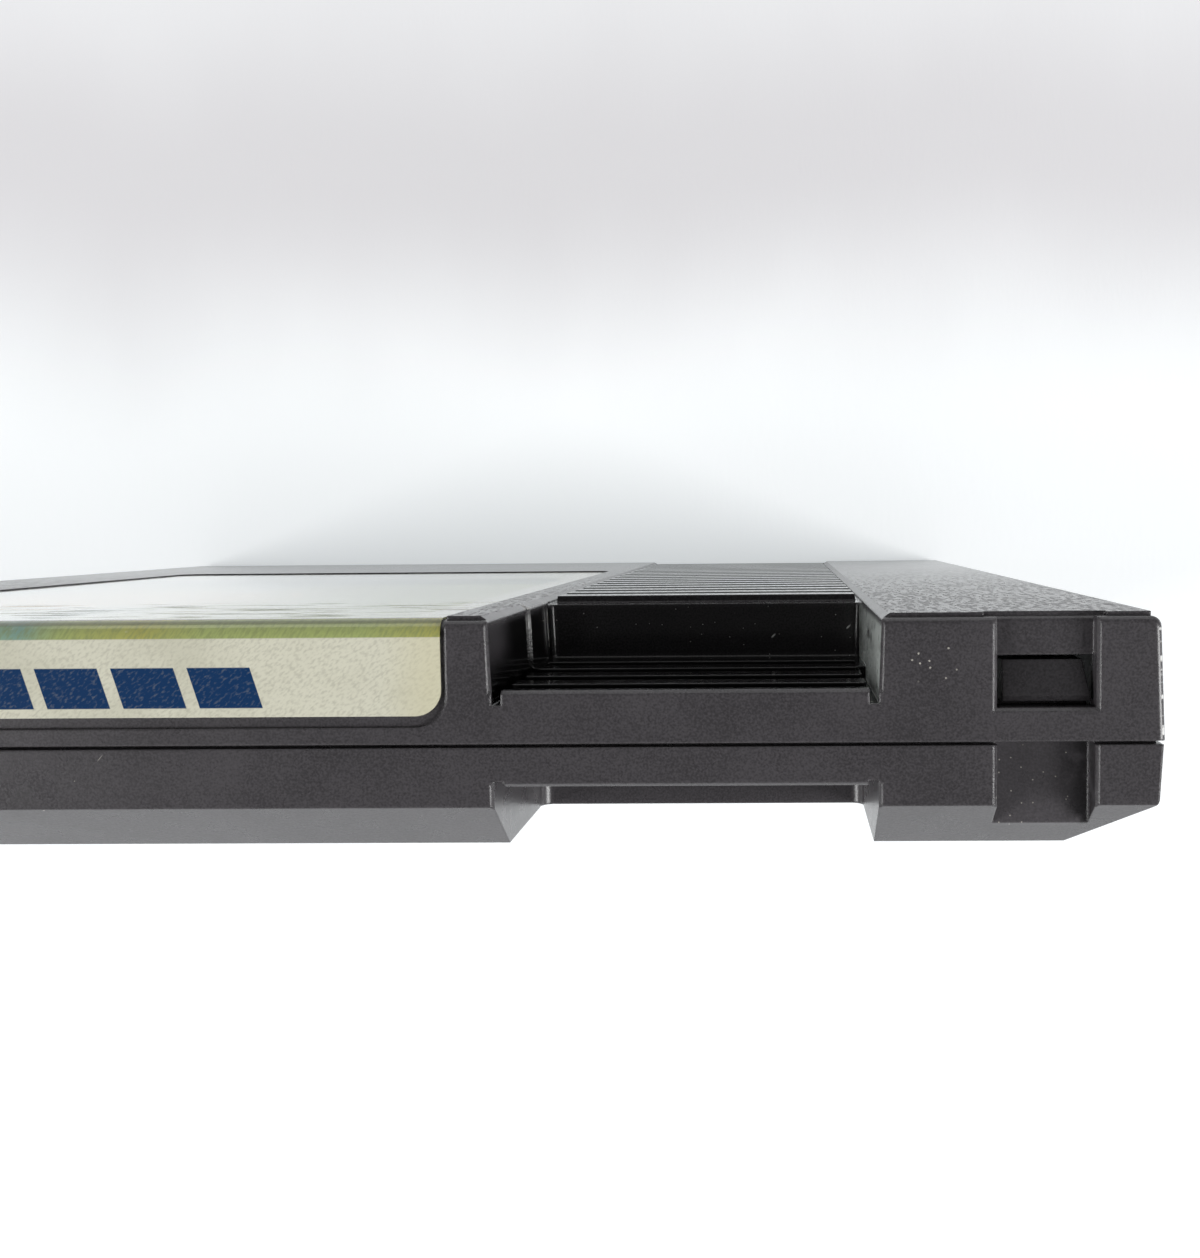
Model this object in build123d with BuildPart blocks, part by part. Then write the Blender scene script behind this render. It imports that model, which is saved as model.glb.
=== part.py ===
from build123d import *
import math
import os

# Game cartridge: two moulded half shells, snapped at the label end and screwed from the back,
# round a circuit board whose edge contacts stand in the open connector end.
# Millimetres. X runs across the front, label on the right, Y from front to back,
# Z from the connector end, on which the case stands, up to the label end.

# Case
WIDTH = 120.0
HEIGHT = 133.4
FRONT_DEPTH = 8.6  # parting line to the front panel
BACK_DEPTH = 7.9  # parting line to the back plateau
SIDE_WALL = 2.2
END_WALL = 2.0
FRONT_WALL = 2.9
BACK_WALL = 2.0
FRONT_DRAFT = 0.34  # how far each front side leans in
FRONT_EDGE_RADIUS = 0.7
END_EDGE_RADIUS = 0.45
MOUTH_EASE = 0.28  # height of the eased edge round an opening in the label end
MOUTH_ANGLE = 40.0  # degrees
ROOT = 0.5  # how far added walls and bosses reach into the wall they grow from
OVERCUT = 1.0  # how far a cut runs out past the face it opens
UPRIGHT = 0.95  # least share of its length that a side edge runs from front to back

# Raised textured panel on the front
PANEL_RAISE = 0.3
PANEL_INSET = 0.85  # from the ends
PANEL_SIDE_INSET = 0.58
PANEL_NOTCH_WIDTH = 8.2  # where the panel steps back behind a snap window
PANEL_NOTCH_DEPTH = 0.8

# Back plateau with its bevels and the shadow line at the joint
BACK_INSET = 0.15
BACK_DRAFT = 0.25
BEVEL_START = 4.3  # from the parting line
BEVEL_RUN = 5.3
BEVEL_RADIUS = 0.8
SHADOW_GAP = 0.25
SHADOW_WIDTH = 0.9  # at the label end
SHADOW_SIDE = 0.3

# Ribbed column with the finger recess at its label end
COLUMN_MARGIN = 18.25  # from the left side to the column
COLUMN_WIDTH = 27.55
COLUMN_BEVEL = 0.6
COLUMN_BEVEL_DROP = 0.4
COLUMN_SINK = 0.6  # panel down to the floor between the ribs
RIB_PITCH = 5.3
RIB_WIDTH = 3.1
RIB_HEIGHT = 0.55
RIB_END_GAP = 0.25  # from a rib's end to the column's side
RIB_DRAFT = 8.0  # degrees
RIB_LEAD = 3.4  # from the recess to the first rib
RECESS_LENGTH = 24.2
RECESS_FLOOR = 3.58  # from the parting line
RECESS_LEAN = 0.18  # how far each side wall leans in
RECESS_JOG = 0.2
RECESS_JOG_FROM = 15.3  # from the label end
RECESS_CORNER_RADIUS = 0.6
RECESS_LAND = 1.3
FLOOR_RIB_WIDTH = 2.6
FLOOR_GROOVE_DEPTH = 0.4
RELIEF_WIDTH = 0.65
RELIEF_DEPTH = 1.0
TUB_WALL = 1.6

# Finger recess in the back
BACK_RECESS_WIDTH = 25.9
BACK_RECESS_LENGTH = 19.2
BACK_RECESS_FLOOR = 2.93  # from the parting line
BACK_RECESS_RADIUS = 1.0
BACK_RELIEF_DEPTH = 0.35

# Label and its pocket
LABEL_GAP_TO_COLUMN = 2.6
LABEL_WIDTH = 56.0
LABEL_LENGTH = 92.0
LABEL_FLAP_GAP = 1.9  # label to the parting line, on the end
LABEL_THICKNESS = 0.15
LABEL_CORNER = 1.8
LABEL_GLUE = 0.02
POCKET_DEPTH = 0.3
POCKET_MARGIN = 0.35
POCKET_FLAP_MARGIN = 0.75
FOLD_RADIUS = 1.2

# Snap windows, hooks and channels at the label end
SNAP_INSET = 7.9  # from the side to the middle of the snap
WINDOW_WIDTH = 6.6
WINDOW_SILL = 2.24  # from the parting line
LINTEL_SETBACK = 1.15
LINTEL_RADIUS = 0.42
CHANNEL_WIDTH = 6.55
CHANNEL_DEPTH = 2.5
HOOK_WIDTH = 5.95
HOOK_SLANT = 0.6
HOOK_OFFSET = 0.14  # outwards from the window's middle
HOOK_THICKNESS = 1.8
HOOK_GAP = 0.33  # to the front wall above and to the sill below
HOOK_FACE = 0.9  # from the end plane to the hook's nose
HOOK_RAMP = 0.35  # how far the hook's face falls away towards its tip
HOOK_LIP_WIDTH = 0.4
HOOK_LIP_DROP = 0.2
HOOK_ROOT = 3.0

# Screws and bosses
BOSS_DIAMETER = 8.0
BOSS_CLEARANCE = 0.8
BOSS_HEIGHT = 11.0  # of the lower pair, from the connector end
CENTRE_BOSS_GAP = 3.0  # from the board's top edge to the centre boss
SCREW_DIAMETER = 3.0
SCREW_CLEARANCE = 0.05
SCREW_REACH = 4.4  # past the parting line
PILOT_ROOM = 0.5  # hole past the screw's tip
SCREW_TIP = 1.2
SCREW_HEAD_DIAMETER = 5.6
SCREW_HEAD = 2.0
SCREW_SOCKET = 1.5
SCREW_SOCKET_DEPTH = 1.1
COUNTERBORE_MARGIN = 0.35
HEAD_SEAT = 3.0  # from the parting line

# Circuit board, its rails and pegs
BOARD_THICKNESS = 1.2
BOARD_RIM = 3.18  # board above the longest package
BOARD_EDGE = 8.0  # from the connector end
BOARD_CORNER = 1.2
BOARD_PLAY = 0.15
MOUTH_MARGIN = 1.5
RAIL_WIDTH = 1.4
RAIL_INSET = 1.7
PEG_DIAMETER = 3.0
PEG_INSET = 5.2
PEG_DROP = 6.0
STOP_WIDTH = 14.0
STOP_THICKNESS = 1.5
STOP_X = 30.0

# Edge contacts
CONTACT_PITCH = 2.5
CONTACT_WIDTH = 1.7
CONTACT_LENGTH = 9.0
CONTACT_THICKNESS = 0.06
CONTACT_MARGIN = 3.5
CONTACT_SETBACK = 0.5  # from the board's edge

# Packages and their leads
CHIP_HEIGHT = 3.8
CHIP_STANDOFF = 0.5
CHIP_DRAFT = 7.0  # degrees
CHIP_NOTCH = 1.2
CHIP_NOTCH_DEPTH = 0.4
CHIP_GAP = 5.0  # from the contacts to the packages
LEAD_THICKNESS = 0.25
LEAD_WIDTH = 0.5
LEAD_HOLE = 0.85
LEAD_TAIL = 1.2
LEAD_PITCH = 2.54
LEAD_FINE_PITCH = 1.778
MEMORY_LEAD_COUNT = 28
MEMORY_ROWS = 15.24
MEMORY_WIDTH = 13.8
BANK_LEAD_COUNT = 24
LOCKOUT_LEAD_COUNT = 16
SMALL_ROWS = 7.62
SMALL_WIDTH = 6.4
CHIP_END = 1.9  # package past its last lead
PROGRAM_SHARE = -0.29  # place across the board, as a share of its width
CHARACTER_SHARE = -0.0415
BANK_SHARE = 0.161
LOCKOUT_SHARE = 0.301

# Capacitors
BYPASS_WIDTH = 4.6
BYPASS_THICKNESS = 2.4
BYPASS_CORNER = 0.8
BYPASS_HEIGHT = 3.6
BYPASS_DROP = 5.0  # from the board's top edge
CAN_SHARE = 0.41
CAN_DIAMETER = 5.0
CAN_LENGTH = 9.0
CAN_EDGE = 0.25
CAN_GAP = 0.1
CAN_LEAD_PITCH = 2.0
CAN_LEAD_RUN = 1.6


def package_length(pins, pitch):
    """Length of a package with two rows of leads."""
    return (pins / 2 - 1) * pitch + 2 * CHIP_END


# Worked out from the sizes above
half = WIDTH / 2
part_y = (FRONT_DEPTH - BACK_DEPTH) / 2
front_y = part_y - FRONT_DEPTH
back_y = part_y + BACK_DEPTH
face_y = front_y + PANEL_RAISE
front_room = FRONT_DEPTH - FRONT_WALL
back_room = BACK_DEPTH - BACK_WALL
bevel_drop = BACK_DEPTH - BEVEL_START

column_left = -half + COLUMN_MARGIN
column_right = column_left + COLUMN_WIDTH
column_x = (column_left + column_right) / 2
column_floor_y = front_y + COLUMN_SINK
side_left = column_left + COLUMN_BEVEL
side_right = column_right - COLUMN_BEVEL
lip_y = front_y + COLUMN_BEVEL_DROP
recess_z = HEIGHT - RECESS_LENGTH
recess_floor_y = part_y - RECESS_FLOOR

label_left = column_right + LABEL_GAP_TO_COLUMN
label_right = label_left + LABEL_WIDTH
label_bottom = HEIGHT - LABEL_LENGTH
label_flap_y = part_y - LABEL_FLAP_GAP

snap_x = half - SNAP_INSET
window_sill_y = part_y - WINDOW_SILL
lintel_y = front_y + FRONT_WALL
hook_top_y = lintel_y + HOOK_GAP
hook_foot_y = window_sill_y - HOOK_GAP
hook_z = HEIGHT - CHANNEL_DEPTH

boss_x = half - SIDE_WALL - BOSS_CLEARANCE - BOSS_DIAMETER / 2
board_width = 2 * (boss_x - BOSS_DIAMETER / 2 - BOSS_CLEARANCE)
chip_low = BOARD_EDGE + CONTACT_LENGTH + CHIP_GAP
board_top = chip_low + package_length(MEMORY_LEAD_COUNT, LEAD_PITCH) + BOARD_RIM
board_height = board_top - BOARD_EDGE
board_z = BOARD_EDGE + board_height / 2
board_front_y = part_y - BOARD_THICKNESS / 2
board_back_y = part_y + BOARD_THICKNESS / 2
centre_boss_z = board_top + CENTRE_BOSS_GAP + BOSS_DIAMETER / 2
screw_points = [(-boss_x, BOSS_HEIGHT), (boss_x, BOSS_HEIGHT), (0, centre_boss_z)]
mouth_width = board_width + 2 * MOUTH_MARGIN
rail_length = board_height - 2 * PEG_DROP
rail_x = board_width / 2 - RAIL_INSET
rail_points = [(-rail_x, board_z), (rail_x, board_z)]
stop_z = board_top + BOARD_PLAY + STOP_THICKNESS / 2
stop_points = [(-STOP_X, stop_z), (STOP_X, stop_z)]
peg_x = board_width / 2 - PEG_INSET
peg_z = board_top - PEG_DROP
peg_points = [(-peg_x, peg_z), (peg_x, peg_z)]
contact_count = int((board_width - 2 * CONTACT_MARGIN - CONTACT_WIDTH) / CONTACT_PITCH) + 1
contact_z = BOARD_EDGE + CONTACT_SETBACK + CONTACT_LENGTH / 2
program_x = PROGRAM_SHARE * board_width
character_x = CHARACTER_SHARE * board_width
bank_x = BANK_SHARE * board_width
lockout_x = LOCKOUT_SHARE * board_width
can_x = CAN_SHARE * board_width


def front_plane(y):
    """A plane that faces the front at depth y, with X to the right and Z up."""
    return Plane.XZ.offset(-y)


def folded_sheet(left, right, bottom, flap_y, lift, thickness, corner):
    """A sheet that lies on the pocket's floor, lifted off it, and folds over the label end."""
    floor_y = front_y + POCKET_DEPTH
    floor_z = HEIGHT - POCKET_DEPTH
    fold_y = floor_y + FOLD_RADIUS
    fold_z = floor_z - FOLD_RADIUS
    near = lift
    far = lift + thickness
    slant = math.sqrt(0.5)
    with BuildPart() as sheet:
        with BuildSketch(Plane.YZ.offset(left)):
            with BuildLine():
                Line((floor_y - far, bottom), (floor_y - far, fold_z))
                reach = slant * (FOLD_RADIUS + far)
                middle = (fold_y - reach, fold_z + reach)
                ThreePointArc((floor_y - far, fold_z), middle, (fold_y, floor_z + far))
                Line((fold_y, floor_z + far), (flap_y, floor_z + far))
                Line((flap_y, floor_z + far), (flap_y, floor_z + near))
                Line((flap_y, floor_z + near), (fold_y, floor_z + near))
                reach = slant * (FOLD_RADIUS + near)
                middle = (fold_y - reach, fold_z + reach)
                ThreePointArc((fold_y, floor_z + near), middle, (floor_y - near, fold_z))
                Line((floor_y - near, fold_z), (floor_y - near, bottom))
                Line((floor_y - near, bottom), (floor_y - far, bottom))
            make_face()
        extrude(amount=right - left)
        fillet(sheet.edges().filter_by(Axis.Y).group_by(Axis.Z)[0], corner)
        fillet(sheet.edges().filter_by(Axis.Z).group_by(Axis.Y)[-1], corner)
    return sheet.part


def eased_mouth(left, right, lean, sill_y, open_y):
    """A cut that widens towards the label end, which eases the edge round an opening."""
    with BuildPart() as mouth:
        with BuildSketch(Plane.XY.offset(HEIGHT - MOUTH_EASE)):
            with BuildLine():
                Polyline(
                    (left, open_y),
                    (left + lean, sill_y),
                    (right - lean, sill_y),
                    (right, open_y),
                    close=True,
                )
            make_face()
        extrude(amount=MOUTH_EASE + OVERCUT, taper=-MOUTH_ANGLE)
    return mouth.part


def column_outline(floor_y, lean, jog):
    """Corners of the sunken column across X and Y, its label-side wall moved in by jog."""
    return [
        (column_left - COLUMN_BEVEL, front_y - OVERCUT),
        (column_left, front_y),
        (side_left, lip_y),
        (side_left + lean, floor_y),
        (side_right - lean - jog, floor_y),
        (side_right - jog, lip_y),
        (column_right, front_y),
        (column_right + COLUMN_BEVEL, front_y - OVERCUT),
    ]


pocket = folded_sheet(
    label_left - POCKET_MARGIN,
    label_right + POCKET_MARGIN,
    label_bottom - POCKET_MARGIN,
    label_flap_y + POCKET_FLAP_MARGIN,
    0,
    POCKET_DEPTH + OVERCUT,
    LABEL_CORNER + POCKET_MARGIN,
)

# Space of the front finger recess: leaning side walls, a jog, and relief grooves along the floor
with BuildPart() as recess:
    with BuildSketch(Plane.XY.offset(HEIGHT - RECESS_JOG_FROM)):
        with BuildLine():
            Polyline(*column_outline(recess_floor_y, RECESS_LEAN, 0), close=True)
        make_face()
    extrude(amount=RECESS_JOG_FROM + OVERCUT)
    with BuildSketch(Plane.XY.offset(recess_z)):
        with BuildLine():
            Polyline(*column_outline(recess_floor_y, RECESS_LEAN, RECESS_JOG), close=True)
        make_face()
    extrude(amount=RECESS_LENGTH - RECESS_JOG_FROM)
    back_rim = recess.edges().group_by(Axis.Z)[0]
    upright = back_rim.filter_by(lambda edge: abs(edge.tangent_at(0.5).Y) > UPRIGHT)
    fillet(upright, RECESS_CORNER_RADIUS)
    # Narrow relief grooves where the floor meets the side walls
    with BuildSketch(front_plane(recess_floor_y - OVERCUT)):
        for edge in (side_left + RECESS_LEAN + RELIEF_WIDTH / 2, side_right - RECESS_LEAN - RELIEF_WIDTH / 2):
            with Locations((edge, HEIGHT - RECESS_JOG_FROM / 2 + OVERCUT / 2)):
                Rectangle(RELIEF_WIDTH, RECESS_JOG_FROM + OVERCUT)
    extrude(amount=-(RELIEF_DEPTH + OVERCUT))
    # Grooves between the floor's cross ribs
    groove_width = RIB_PITCH - FLOOR_RIB_WIDTH
    groove_length = side_right - side_left - 2 * RECESS_LEAN - 2 * RELIEF_WIDTH
    groove_count = int((RECESS_LENGTH - RECESS_LAND - groove_width) / RIB_PITCH) + 1
    with BuildSketch(front_plane(recess_floor_y - OVERCUT)):
        for step in range(groove_count):
            with Locations((column_x, HEIGHT - RECESS_LAND - groove_width / 2 - step * RIB_PITCH)):
                Rectangle(groove_length, groove_width)
    extrude(amount=-(FLOOR_GROOVE_DEPTH + OVERCUT))

# Sunken floor of the ribbed column, with bevelled sides
with BuildPart() as trough:
    with BuildSketch(Plane.XY.offset(PANEL_INSET)):
        with BuildLine():
            Polyline(*column_outline(column_floor_y, 0, 0), close=True)
        make_face()
    extrude(amount=recess_z - PANEL_INSET + ROOT)

# Notch of one snap window, with a rounded front edge below it
with BuildPart() as window_notch:
    lintel_z = HEIGHT - LINTEL_SETBACK
    window_left = snap_x - WINDOW_WIDTH / 2
    with BuildSketch(Plane.YZ.offset(window_left)):
        with BuildLine():
            Polyline(
                (face_y, lintel_z - LINTEL_RADIUS),
                (front_y - OVERCUT, lintel_z - LINTEL_RADIUS),
                (front_y - OVERCUT, HEIGHT + OVERCUT),
                (window_sill_y, HEIGHT + OVERCUT),
                (window_sill_y, lintel_z),
                (face_y + LINTEL_RADIUS, lintel_z),
            )
            TangentArc(
                (face_y + LINTEL_RADIUS, lintel_z),
                (face_y, lintel_z - LINTEL_RADIUS),
                tangent=(-1, 0),
            )
        make_face()
    extrude(amount=WINDOW_WIDTH)
    add(eased_mouth(window_left, window_left + WINDOW_WIDTH, 0, window_sill_y, front_y - OVERCUT))

# Front half of the case
with BuildPart() as front_shell:
    with BuildSketch(Plane.XY) as section:
        with BuildLine():
            Polyline(
                (-half, part_y),
                (-half + FRONT_DRAFT, face_y),
                (half - FRONT_DRAFT, face_y),
                (half, part_y),
                close=True,
            )
        make_face()
        fillet(section.vertices().group_by(Axis.Y)[0], FRONT_EDGE_RADIUS)
    extrude(amount=HEIGHT)
    end_rim = front_shell.faces().sort_by(Axis.Z)[-1].edges()
    fillet(end_rim.sort_by(Axis.Y)[:-1], END_EDGE_RADIUS)
    with BuildSketch(front_plane(face_y + ROOT)):
        with Locations((0, HEIGHT / 2)):
            Rectangle(WIDTH - 2 * (FRONT_DRAFT + PANEL_SIDE_INSET), HEIGHT - 2 * PANEL_INSET)
        with Locations((-snap_x, HEIGHT - PANEL_INSET), (snap_x, HEIGHT - PANEL_INSET)):
            Rectangle(PANEL_NOTCH_WIDTH, 2 * PANEL_NOTCH_DEPTH, mode=Mode.SUBTRACT)
    extrude(amount=PANEL_RAISE + ROOT)
    # Hollow inside, open at the connector end between the lower bosses
    with BuildSketch(front_plane(part_y)):
        with Locations((0, HEIGHT / 2)):
            Rectangle(WIDTH - 2 * SIDE_WALL, HEIGHT - 2 * END_WALL)
        with Locations((0, END_WALL / 2)):
            Rectangle(mouth_width, END_WALL)
    extrude(amount=front_room, mode=Mode.SUBTRACT)
    # Tub that carries the finger recess
    with BuildSketch(front_plane(recess_floor_y + RELIEF_DEPTH + TUB_WALL)):
        with Locations((column_x, HEIGHT - RECESS_LENGTH / 2 - TUB_WALL / 2 - ROOT / 2)):
            Rectangle(COLUMN_WIDTH + 2 * TUB_WALL, RECESS_LENGTH + TUB_WALL - ROOT)
    extrude(amount=front_room - part_y + recess_floor_y + RELIEF_DEPTH + TUB_WALL + ROOT)
    # Bosses for the screws, and rails that hold the board down
    with BuildSketch(front_plane(part_y)):
        with Locations(*screw_points):
            Circle(BOSS_DIAMETER / 2)
    extrude(amount=front_room + ROOT)
    with BuildSketch(front_plane(board_front_y - BOARD_PLAY)):
        with Locations(*rail_points):
            Rectangle(RAIL_WIDTH, rail_length)
    extrude(amount=front_room - BOARD_THICKNESS / 2 - BOARD_PLAY + ROOT)
    with BuildSketch(front_plane(part_y)):
        with Locations(*screw_points):
            Circle(SCREW_DIAMETER / 2 + SCREW_CLEARANCE)
    extrude(amount=SCREW_REACH + PILOT_ROOM, mode=Mode.SUBTRACT)
    # Sunken column, its ribs and the finger recess
    add(trough.part, mode=Mode.SUBTRACT)
    rib_count = int((recess_z - RIB_LEAD - PANEL_INSET) / RIB_PITCH)
    with BuildSketch(front_plane(column_floor_y + ROOT)):
        for step in range(rib_count):
            with Locations((column_x, recess_z - RIB_LEAD - RIB_WIDTH / 2 - step * RIB_PITCH)):
                Rectangle(side_right - side_left - 2 * RIB_END_GAP, RIB_WIDTH)
    extrude(amount=RIB_HEIGHT + ROOT, taper=RIB_DRAFT)
    add(recess.part, mode=Mode.SUBTRACT)
    front_mouth = eased_mouth(side_left, side_right, RECESS_LEAN, recess_floor_y, front_y - OVERCUT)
    add(front_mouth, mode=Mode.SUBTRACT)
    add(pocket, mode=Mode.SUBTRACT)
    # Snap windows: a notch in the end, open behind it below the front wall
    add(window_notch.part, mode=Mode.SUBTRACT)
    add(mirror(window_notch.part, about=Plane.YZ, mode=Mode.PRIVATE), mode=Mode.SUBTRACT)
    with BuildSketch(front_plane(window_sill_y)):
        with Locations((-snap_x, HEIGHT), (snap_x, HEIGHT)):
            Rectangle(WINDOW_WIDTH, 2 * (END_WALL + ROOT))
    extrude(amount=window_sill_y - lintel_y, mode=Mode.SUBTRACT)
front_shell.part.label = "front_shell"


def back_section(rise):
    """Outline of the back half across X and Y, carried on past the parting line by rise."""
    corner = half - BACK_INSET - BACK_DRAFT
    edge = corner + (BEVEL_START + rise) * BACK_DRAFT / BEVEL_START
    with BuildSketch(Plane.XY) as outline:
        with BuildLine():
            Polyline(
                (-edge, part_y - rise),
                (-corner, part_y + BEVEL_START),
                (-corner + BEVEL_RUN, back_y),
                (corner - BEVEL_RUN, back_y),
                (corner, part_y + BEVEL_START),
                (edge, part_y - rise),
                close=True,
            )
        make_face()
        fillet(outline.vertices().group_by(Axis.Y)[-2], BEVEL_RADIUS)
    return outline.sketch


def end_bevel(inset):
    """The wedge that bevels the label end of the back, moved in by inset."""
    length = math.hypot(BEVEL_RUN, bevel_drop)
    start_y = part_y + BEVEL_START - inset * BEVEL_RUN / length
    start_z = HEIGHT - inset * bevel_drop / length
    with BuildPart() as wedge:
        with BuildSketch(Plane.YZ.offset(-WIDTH)):
            with BuildLine():
                Polyline(
                    (start_y - bevel_drop, start_z + BEVEL_RUN),
                    (start_y + 2 * bevel_drop, start_z - 2 * BEVEL_RUN),
                    (start_y + 2 * bevel_drop, start_z + BEVEL_RUN),
                    close=True,
                )
            make_face()
        extrude(amount=2 * WIDTH)
    return wedge.part


# Hollow of the back half, with its walls parallel to the bevels
with BuildPart() as back_hollow:
    with BuildSketch(Plane.XY.offset(END_WALL)):
        add(offset(back_section(BACK_WALL + ROOT), amount=-BACK_WALL, mode=Mode.PRIVATE))
    extrude(amount=HEIGHT - 2 * END_WALL)
    add(end_bevel(BACK_WALL), mode=Mode.SUBTRACT)

# Snap hook: a tongue with a ramped nose, its outer side slanted
with BuildPart() as snap_hook:
    with BuildSketch(Plane.XY.offset(hook_z - HOOK_THICKNESS)):
        with BuildLine():
            hook_left = -snap_x - HOOK_OFFSET - HOOK_WIDTH / 2
            Polyline(
                (hook_left + HOOK_SLANT, hook_top_y),
                (hook_left + HOOK_WIDTH, hook_top_y),
                (hook_left + HOOK_WIDTH, part_y + HOOK_ROOT),
                (hook_left, part_y + HOOK_ROOT),
                (hook_left, hook_foot_y),
                close=True,
            )
        make_face()
    extrude(amount=HOOK_THICKNESS + CHANNEL_DEPTH)
    with BuildSketch(Plane.YZ.offset(-half)):
        with BuildLine():
            Polyline(
                (hook_top_y, hook_z - HOOK_THICKNESS),
                (hook_top_y, HEIGHT - HOOK_FACE - HOOK_RAMP),
                (hook_foot_y - HOOK_LIP_WIDTH, HEIGHT - HOOK_FACE),
                (hook_foot_y, HEIGHT - HOOK_FACE - HOOK_LIP_DROP),
                (hook_foot_y, hook_z),
                (part_y + HOOK_ROOT, hook_z),
                (part_y + HOOK_ROOT, hook_z - HOOK_THICKNESS),
                close=True,
            )
        make_face()
    extrude(amount=half, mode=Mode.INTERSECT)

# Back half of the case
with BuildPart() as back_shell:
    add(extrude(back_section(0), amount=HEIGHT, mode=Mode.PRIVATE))
    add(back_hollow.part, mode=Mode.SUBTRACT)
    with BuildSketch(front_plane(part_y)):
        with Locations((0, END_WALL / 2)):
            Rectangle(mouth_width, END_WALL)
    extrude(amount=-back_room, mode=Mode.SUBTRACT)
    # Walls behind the finger recess and the snap channels
    with BuildSketch(front_plane(part_y + BACK_RECESS_FLOOR - BACK_RELIEF_DEPTH - TUB_WALL)):
        with Locations((column_x, HEIGHT - BACK_RECESS_LENGTH / 2 - TUB_WALL / 2 - ROOT / 2)):
            Rectangle(BACK_RECESS_WIDTH + 2 * TUB_WALL, BACK_RECESS_LENGTH + TUB_WALL - ROOT)
    extrude(amount=-(back_room - BACK_RECESS_FLOOR + BACK_RELIEF_DEPTH + TUB_WALL + ROOT))
    with BuildSketch(front_plane(part_y)):
        backing = CHANNEL_DEPTH + HOOK_THICKNESS
        with Locations((-snap_x, HEIGHT - (backing + ROOT) / 2), (snap_x, HEIGHT - (backing + ROOT) / 2)):
            Rectangle(CHANNEL_WIDTH + 2 * TUB_WALL, backing - ROOT)
    extrude(amount=-BEVEL_START)
    # Bosses, board rails, pegs and stops
    with BuildSketch(front_plane(part_y)):
        with Locations(*screw_points):
            Circle(BOSS_DIAMETER / 2)
    extrude(amount=-(back_room + ROOT))
    with BuildSketch(front_plane(board_back_y)):
        with Locations(*rail_points):
            Rectangle(RAIL_WIDTH, rail_length)
    extrude(amount=-(back_room - BOARD_THICKNESS / 2 + ROOT))
    with BuildSketch(front_plane(board_front_y - BOARD_PLAY)):
        with Locations(*peg_points):
            Circle(PEG_DIAMETER / 2)
        with Locations(*stop_points):
            Rectangle(STOP_WIDTH, STOP_THICKNESS)
    extrude(amount=-(back_room + BOARD_THICKNESS / 2 + BOARD_PLAY + ROOT))
    # Bevelled end, finger recess with relief grooves, channels and shadow line
    add(end_bevel(0), mode=Mode.SUBTRACT)
    with BuildSketch(front_plane(part_y + BACK_RECESS_FLOOR)) as back_recess:
        with Locations((column_x, HEIGHT - BACK_RECESS_LENGTH / 2 + OVERCUT / 2)):
            Rectangle(BACK_RECESS_WIDTH, BACK_RECESS_LENGTH + OVERCUT)
        fillet(back_recess.vertices().group_by(Axis.Z)[0], BACK_RECESS_RADIUS)
    extrude(amount=-BACK_DEPTH, mode=Mode.SUBTRACT)
    with BuildSketch(front_plane(part_y + BACK_RECESS_FLOOR - BACK_RELIEF_DEPTH)):
        relief_x = BACK_RECESS_WIDTH / 2 - RELIEF_WIDTH / 2
        relief_z = HEIGHT - (BACK_RECESS_LENGTH - BACK_RECESS_RADIUS) / 2 + OVERCUT / 2
        with Locations((column_x - relief_x, relief_z), (column_x + relief_x, relief_z)):
            Rectangle(RELIEF_WIDTH, BACK_RECESS_LENGTH - BACK_RECESS_RADIUS + OVERCUT)
    extrude(amount=-BACK_DEPTH, mode=Mode.SUBTRACT)
    opening_y = back_y + OVERCUT
    recess_left = column_x - BACK_RECESS_WIDTH / 2
    recess_right = column_x + BACK_RECESS_WIDTH / 2
    back_mouth = eased_mouth(recess_left, recess_right, 0, part_y + BACK_RECESS_FLOOR, opening_y)
    add(back_mouth, mode=Mode.SUBTRACT)
    with BuildSketch(front_plane(part_y)):
        with Locations((-snap_x, HEIGHT), (snap_x, HEIGHT)):
            Rectangle(CHANNEL_WIDTH, 2 * CHANNEL_DEPTH)
    extrude(amount=-BACK_DEPTH, mode=Mode.SUBTRACT)
    for middle_x in (-snap_x, snap_x):
        channel_left = middle_x - CHANNEL_WIDTH / 2
        channel_right = middle_x + CHANNEL_WIDTH / 2
        channel_mouth = eased_mouth(channel_left, channel_right, 0, part_y - OVERCUT, opening_y)
        add(channel_mouth, mode=Mode.SUBTRACT)
    with BuildSketch(front_plane(part_y)):
        with Locations((0, HEIGHT / 2)):
            Rectangle(WIDTH + OVERCUT, HEIGHT + OVERCUT)
        with Locations((0, HEIGHT / 2 - SHADOW_WIDTH / 2 - OVERCUT / 2)):
            shadow_height = HEIGHT - SHADOW_WIDTH + OVERCUT
            Rectangle(WIDTH - 2 * (BACK_INSET + SHADOW_SIDE), shadow_height, mode=Mode.SUBTRACT)
    extrude(amount=-SHADOW_GAP, mode=Mode.SUBTRACT)
    # Screw holes with their counterbores
    with BuildSketch(front_plane(part_y + HEAD_SEAT)):
        with Locations(*screw_points):
            Circle(SCREW_HEAD_DIAMETER / 2 + COUNTERBORE_MARGIN)
    extrude(amount=-BACK_DEPTH, mode=Mode.SUBTRACT)
    with BuildSketch(front_plane(part_y)):
        with Locations(*screw_points):
            Circle(SCREW_DIAMETER / 2 + SCREW_CLEARANCE)
    extrude(amount=-BACK_DEPTH, mode=Mode.SUBTRACT)
    add(snap_hook.part)
    add(mirror(snap_hook.part, about=Plane.YZ, mode=Mode.PRIVATE))
back_shell.part.label = "back_shell"

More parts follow.
